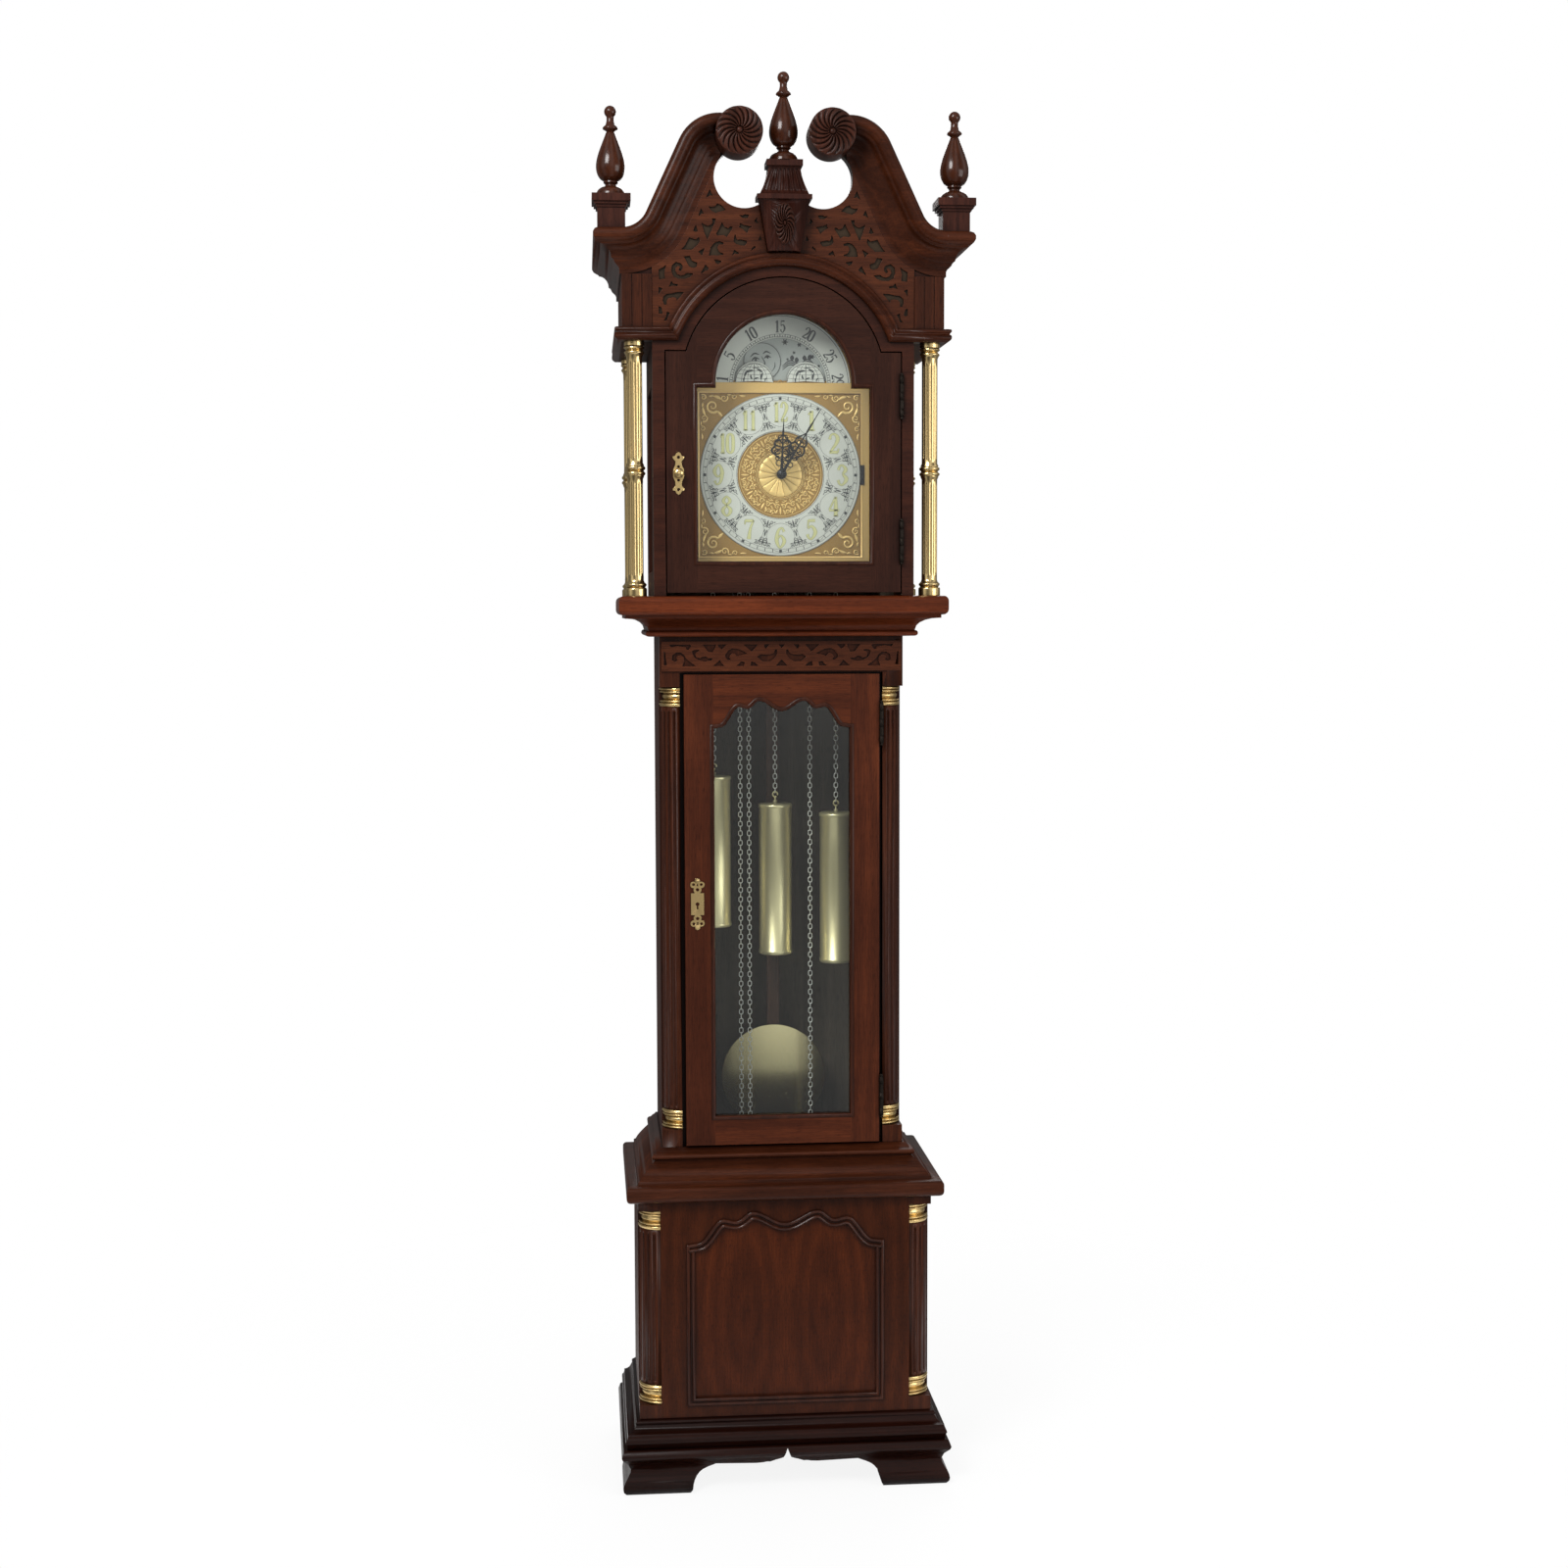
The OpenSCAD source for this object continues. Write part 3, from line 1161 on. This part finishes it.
// Lens-shaped brass bob, slotted behind for the rod, and the rating nut that it rests on
module pendulum_bob() {
    nut_z = bob_z - bob_r - 8;
    color([0.86, 0.72, 0.36]) in_case() translate([0, -pendulum_y, nut_z]) difference() {
        cylinder(h = 8, r = 8);
        translate([0, 0, -1]) cylinder(h = 10, r = 2 + pivot_gap);
    }
    color([0.86, 0.72, 0.36]) in_case() difference() {
        translate([0, -pendulum_y + rod_t / 2 + 1, bob_z]) rotate([90, 0, 0]) rotate_extrude($fn = 96)
            polygon([[0, 0], [bob_r - 1.5, 0], [bob_r, 1.5], [bob_r, 3.5],
                [bob_r - 3, 6], [bob_r * 0.6, bob_t - 3.5], [bob_r * 0.3, bob_t - 1.2],
                [0, bob_t]]);
        board(-rod_half - 0.1, rod_half + 0.1, -pendulum_y - rod_t / 2 - 0.1, -pendulum_y + rod_t,
            bob_z - bob_r - 1, bob_z + bob_r + 1);
    }
}

// Trains: the chain runs from the weight's hook over its wheel to the tail
function wheel_x(i) = weight_x[i] + chain_wheel_r * wheel_turn[i];
function tail_x(i) = weight_x[i] + 2 * chain_wheel_r * wheel_turn[i];

// Where the i-th weight's case ends, under its hook
function weight_top(i) = wheel_z - hung_links[i] * link_pitch - hook_h;

// Weight: brass shell with turned end caps, a neck and a hook
module weight(i) {
    top = weight_top(i);
    color([0.83, 0.68, 0.34]) in_case() translate([weight_x[i], -train_y, top - weight_len]) {
        rotate_extrude() polygon([[0, 0], [weight_r - 1.5, 0], [weight_r, 1.5], [weight_r, 6],
            [weight_r - 1, 7], [weight_r - 1, weight_len - 7], [weight_r, weight_len - 6],
            [weight_r, weight_len - 1.5], [weight_r - 1.5, weight_len], [3.5, weight_len],
            [3.5, weight_len + 5], [1.2, weight_len + 6], [1.2, weight_len + hook_h - 6],
            [0, weight_len + hook_h - 6]]);
        translate([0, 0, weight_len + hook_h - 2.2]) rotate([90, 20, 0]) rotate_extrude(angle = 320)
            translate([4, 0]) circle(1.1, $fn = 16);
    }
}

// One chain link: a ring with round ends, standing on edge
link_half = 3.5;
link_free = 0.35;
module link_outline(half, straight) {
    square([2 * half, straight], center = true);
    both_ends() translate([0, straight / 2]) circle(half, $fn = 20);
}

module link() {
    straight = link_pitch + link_free + 2 * link_wire - 2 * link_half;
    translate([0, 0, -link_wire / 2]) linear_extrude(link_wire) difference() {
        link_outline(link_half, straight);
        link_outline(link_half - link_wire, straight);
    }
}

// A link in its place on a run, turned a quarter from its neighbours
module turned_link(i) {
    rotate([0, 0, i % 2 == 0 ? 45 : -45]) rotate([90, 0, 0]) link();
}

module strand(x, n) {
    for (i = [0:n - 1]) translate([x, -train_y, wheel_z - link_pitch * (i + 0.5)]) turned_link(i);
}

// From the weight's hook up to the wheel
module chain(i) {
    color([0.7, 0.7, 0.72]) in_case() strand(weight_x[i], hung_links[i]);
}

// The free run on the wheel's other side, with the ring at its end
module chain_tail(i) {
    color([0.7, 0.7, 0.72]) in_case() {
        strand(tail_x(i), tail_links[i]);
        translate([tail_x(i), -train_y, wheel_z - tail_links[i] * link_pitch - 4.1]) rotate([90, 0, 0])
            rotate_extrude() translate([5, 0]) circle(1, $fn = 16);
    }
}

// The links that lie over the three wheels
module chain_loops() {
    n = 2 * ceil(PI * chain_wheel_r / link_pitch / 2);
    color([0.7, 0.7, 0.72]) in_case() for (i = [0:2], k = [0:n - 1])
        translate([wheel_x(i), -train_y, wheel_z]) rotate([0, -180 / n * (k + 0.5), 0])
            translate([chain_wheel_r, 0, 0]) turned_link(k + 1);
}

// Chain wheel with its arbor: two cheeks, a notched rim between them
module chain_wheel(i) {
    rim = chain_wheel_r - 4.6;
    color([0.82, 0.66, 0.34]) in_case() {
        for (y = [-6.5, 4.5]) facing(train_y + y, 2) translate([wheel_x(i), wheel_z])
            circle(rim + 1.5);
        facing(train_y - 4.5, 9) translate([wheel_x(i), wheel_z]) difference() {
            circle(rim);
            for (k = [0:11]) rotate(30 * k) translate([rim + 0.6, 0]) circle(1.8, $fn = 16);
        }
        rod_y(wheel_x(i), wheel_z, back_plate_y + 0.5, plate_gap + plate_t - 1, 3);
    }
}

module left_weight() { weight(0); }
module centre_weight() { weight(1); }
module right_weight() { weight(2); }
module left_chain() { chain(0); }
module centre_chain() { chain(1); }
module right_chain() { chain(2); }
module left_chain_tail() { chain_tail(0); }
module centre_chain_tail() { chain_tail(1); }
module right_chain_tail() { chain_tail(2); }
module left_chain_wheel() { chain_wheel(0); }
module centre_chain_wheel() { chain_wheel(1); }
module right_chain_wheel() { chain_wheel(2); }

// Hood door: arched frame with a rebate for the glass
module hood_sight(grow) {
    translate([-sight_hw - grow, sight_z - grow])
        square([sight_w + 2 * grow, sight_shoulder_z - sight_z + 2 * grow]);
    intersection() {
        translate([0, sight_shoulder_z + 6]) circle(sight_arch_r + grow, $fn = 96);
        translate([-sight_hw, sight_z]) square([sight_w, z_crown - sight_z]);
    }
}

module hood_door() {
    color([0.22, 0.1, 0.07]) in_case() difference() {
        facing(hood_d - door_t, door_t) intersection() {
            hood_opening(0);
            translate([-hood_hw, z_hood + 5]) square([hood_w, z_crown - z_hood]);
        }
        facing(hood_d - door_t - 1, door_t + 2) hood_sight(0);
        facing(hood_d - door_t - 1, door_t - 6) hood_sight(7);
    }
}

glass_t = 3;
module hood_glass() {
    color([0.75, 0.8, 0.82, 0.3]) in_case() facing(hood_d - 7 - glass_t, glass_t) hood_sight(6.5);
}

// Pierced handle plate with a turned knob
handle_x = -159;
handle_z = dial_z - 2;
module hood_handle() {
    color([0.85, 0.68, 0.32]) in_case() {
        facing(hood_d, 1.5) translate([handle_x, handle_z]) both_ends() difference() {
            polygon([[0, 0], [8, 0], [8, 6], [5, 12], [4.5, 18], [8, 22], [9, 25], [5, 26],
                [3, 30], [0, 32], [-3, 30], [-5, 26], [-9, 25], [-8, 22], [-4.5, 18], [-5, 12],
                [-8, 6], [-8, 0]]);
            translate([0, 10]) circle(2.2, $fn = 16);
            translate([0, 24]) circle(2.4, $fn = 16);
        }
        translate([handle_x, -hood_d - 1.5, handle_z]) rotate([90, 0, 0]) rotate_extrude()
            polygon(concat([[0, 0], [5, 0], [3, 3], [3, 6]], arc(2.5, 11, 5, -60, 80, 5),
                [[0, 16.2]]));
    }
}

// Five-knuckle butt hinges in the gaps beside the doors: the case has the odd knuckles and the
// pin with its two balls, the door the even ones
knuckle_r = 3.2;
pin_r = 1.5;
hinge_h = 62;
knuckle_h = hinge_h / 5;
leaf_w = 15;
hood_gap = 2;
trunk_gap = trunk_hw - trunk_post - door_hw;
hood_hinge = [hood_door_hw + hood_gap / 2, hood_d];
trunk_hinge = [door_hw + trunk_gap / 2, trunk_d + 6];
hood_hinge_z = [z_hood + 50, z_hood + 268];
trunk_hinge_z = [door_z + 42, door_z + door_h - 45 - hinge_h];

// Place of a hinge's axis, in front of the door's face
module at_hinge(hinge, z) {
    translate([hinge[0], -hinge[1] - knuckle_r - slip, z]) children();
}

// A leaf on one side of the axis, with tabs to the knuckles that it carries
module leaf_plate(gap, side, own) {
    leaf_t = gap / 4;
    near = gap / 2 - leaf_t - 0.05;
    x0 = side > 0 ? near : -near - leaf_t;
    back = knuckle_r + slip;
    translate([x0, back, 0]) cube([leaf_t, leaf_w, hinge_h]);
    for (i = own) difference() {
        translate([0, 0, i * knuckle_h + 0.1]) union() {
            cylinder(h = knuckle_h - 0.2, r = knuckle_r);
            translate([x0, knuckle_r - 1, 0]) cube([leaf_t, 1.5 + slip, knuckle_h - 0.2]);
        }
        if (side < 0) translate([0, 0, -1]) cylinder(h = hinge_h + 2, r = pin_r + pivot_gap);
    }
}

module case_leaf(gap) {
    leaf_plate(gap, 1, [0, 2, 4]);
    cylinder(h = hinge_h, r = pin_r);
    for (z = [-1.5, hinge_h + 1.5]) translate([0, 0, z]) sphere(r = 2.6, $fn = 24);
}

module case_hinges() {
    color([0.12, 0.1, 0.09]) in_case() {
        for (z = hood_hinge_z) at_hinge(hood_hinge, z) case_leaf(hood_gap);
        for (z = trunk_hinge_z) at_hinge(trunk_hinge, z) case_leaf(trunk_gap);
    }
}

module hood_hinges() {
    color([0.12, 0.1, 0.09]) in_case()
        for (z = hood_hinge_z) at_hinge(hood_hinge, z) leaf_plate(hood_gap, -1, [1, 3]);
}

module trunk_hinges() {
    color([0.12, 0.1, 0.09]) in_case()
        for (z = trunk_hinge_z) at_hinge(trunk_hinge, z) leaf_plate(trunk_gap, -1, [1, 3]);
}

// Trunk door: frame with the shaped top to its glass, and a rebate behind
module trunk_sight(grow) {
    crested(door_hw - door_stile + grow, door_z + 45 - grow,
        door_z + door_h - 82 + grow, door_rise);
}

module trunk_door() {
    back = trunk_d + 6 - door_t;
    color([0.36, 0.16, 0.09]) in_case() difference() {
        facing(back, door_t) translate([-door_hw, door_z]) square([door_w, door_h]);
        facing(back - 1, door_t + 2) trunk_sight(0);
        facing(back - 1, door_t - 6) trunk_sight(7);
    }
}

module trunk_glass() {
    color([0.75, 0.8, 0.82, 0.3]) in_case() facing(trunk_d - 1 - glass_t, glass_t) trunk_sight(6.5);
}

// Pierced keyhole plate
key_x = -132;
key_z = door_z + door_h * 0.517;
module keyhole_plate() {
    color([0.85, 0.68, 0.32]) in_case() facing(trunk_d + 6, 1.2) translate([key_x, key_z])
        difference() {
            union() {
                square([20, 34], center = true);
                for (end = [-1, 1]) {
                    translate([0, 22 * end]) circle(6, $fn = 24);
                    translate([0, 36 * end]) circle(4, $fn = 24);
                    for (side = [-6, 6]) translate([side, 30 * end]) circle(5, $fn = 24);
                }
            }
            circle(3, $fn = 24);
            translate([-1.3, -8]) square([2.6, 8]);
            for (end = [-1, 1]) {
                translate([0, 22.5 * end]) circle(2.6, $fn = 16);
                for (side = [-6, 6]) translate([side, 30.5 * end]) circle(2.2, $fn = 16);
            }
        }
}

bracket_feet();
base_floor();
plinth_moulding();
base_front();
base_panel_moulding();
case_sides();
corner_columns();
column_brasses();
waist_moulding();
trunk_frame();
back_board();
fret_panels();
hood_base();
hood_sides();
hood_front();
pilasters();
impost_moulding();
cornice_box();
crown_mouldings();
rosettes();
finial_plinths();
finials();
pedestal();
hood_columns();
seat_board();
case_hinges();
dial_plate();
dial_rings();
moon_disc();
hour_hand();
minute_hand();
chime_lever();
movement_frame();
chime_rods();
chime_hammers();
escape_wheel();
pallet_anchor();
pendulum_rod();
pendulum_bob();
chain_loops();
left_weight();
centre_weight();
right_weight();
left_chain();
centre_chain();
right_chain();
left_chain_tail();
centre_chain_tail();
right_chain_tail();
left_chain_wheel();
centre_chain_wheel();
right_chain_wheel();
hood_door();
hood_glass();
hood_handle();
hood_hinges();
trunk_door();
trunk_glass();
keyhole_plate();
trunk_hinges();
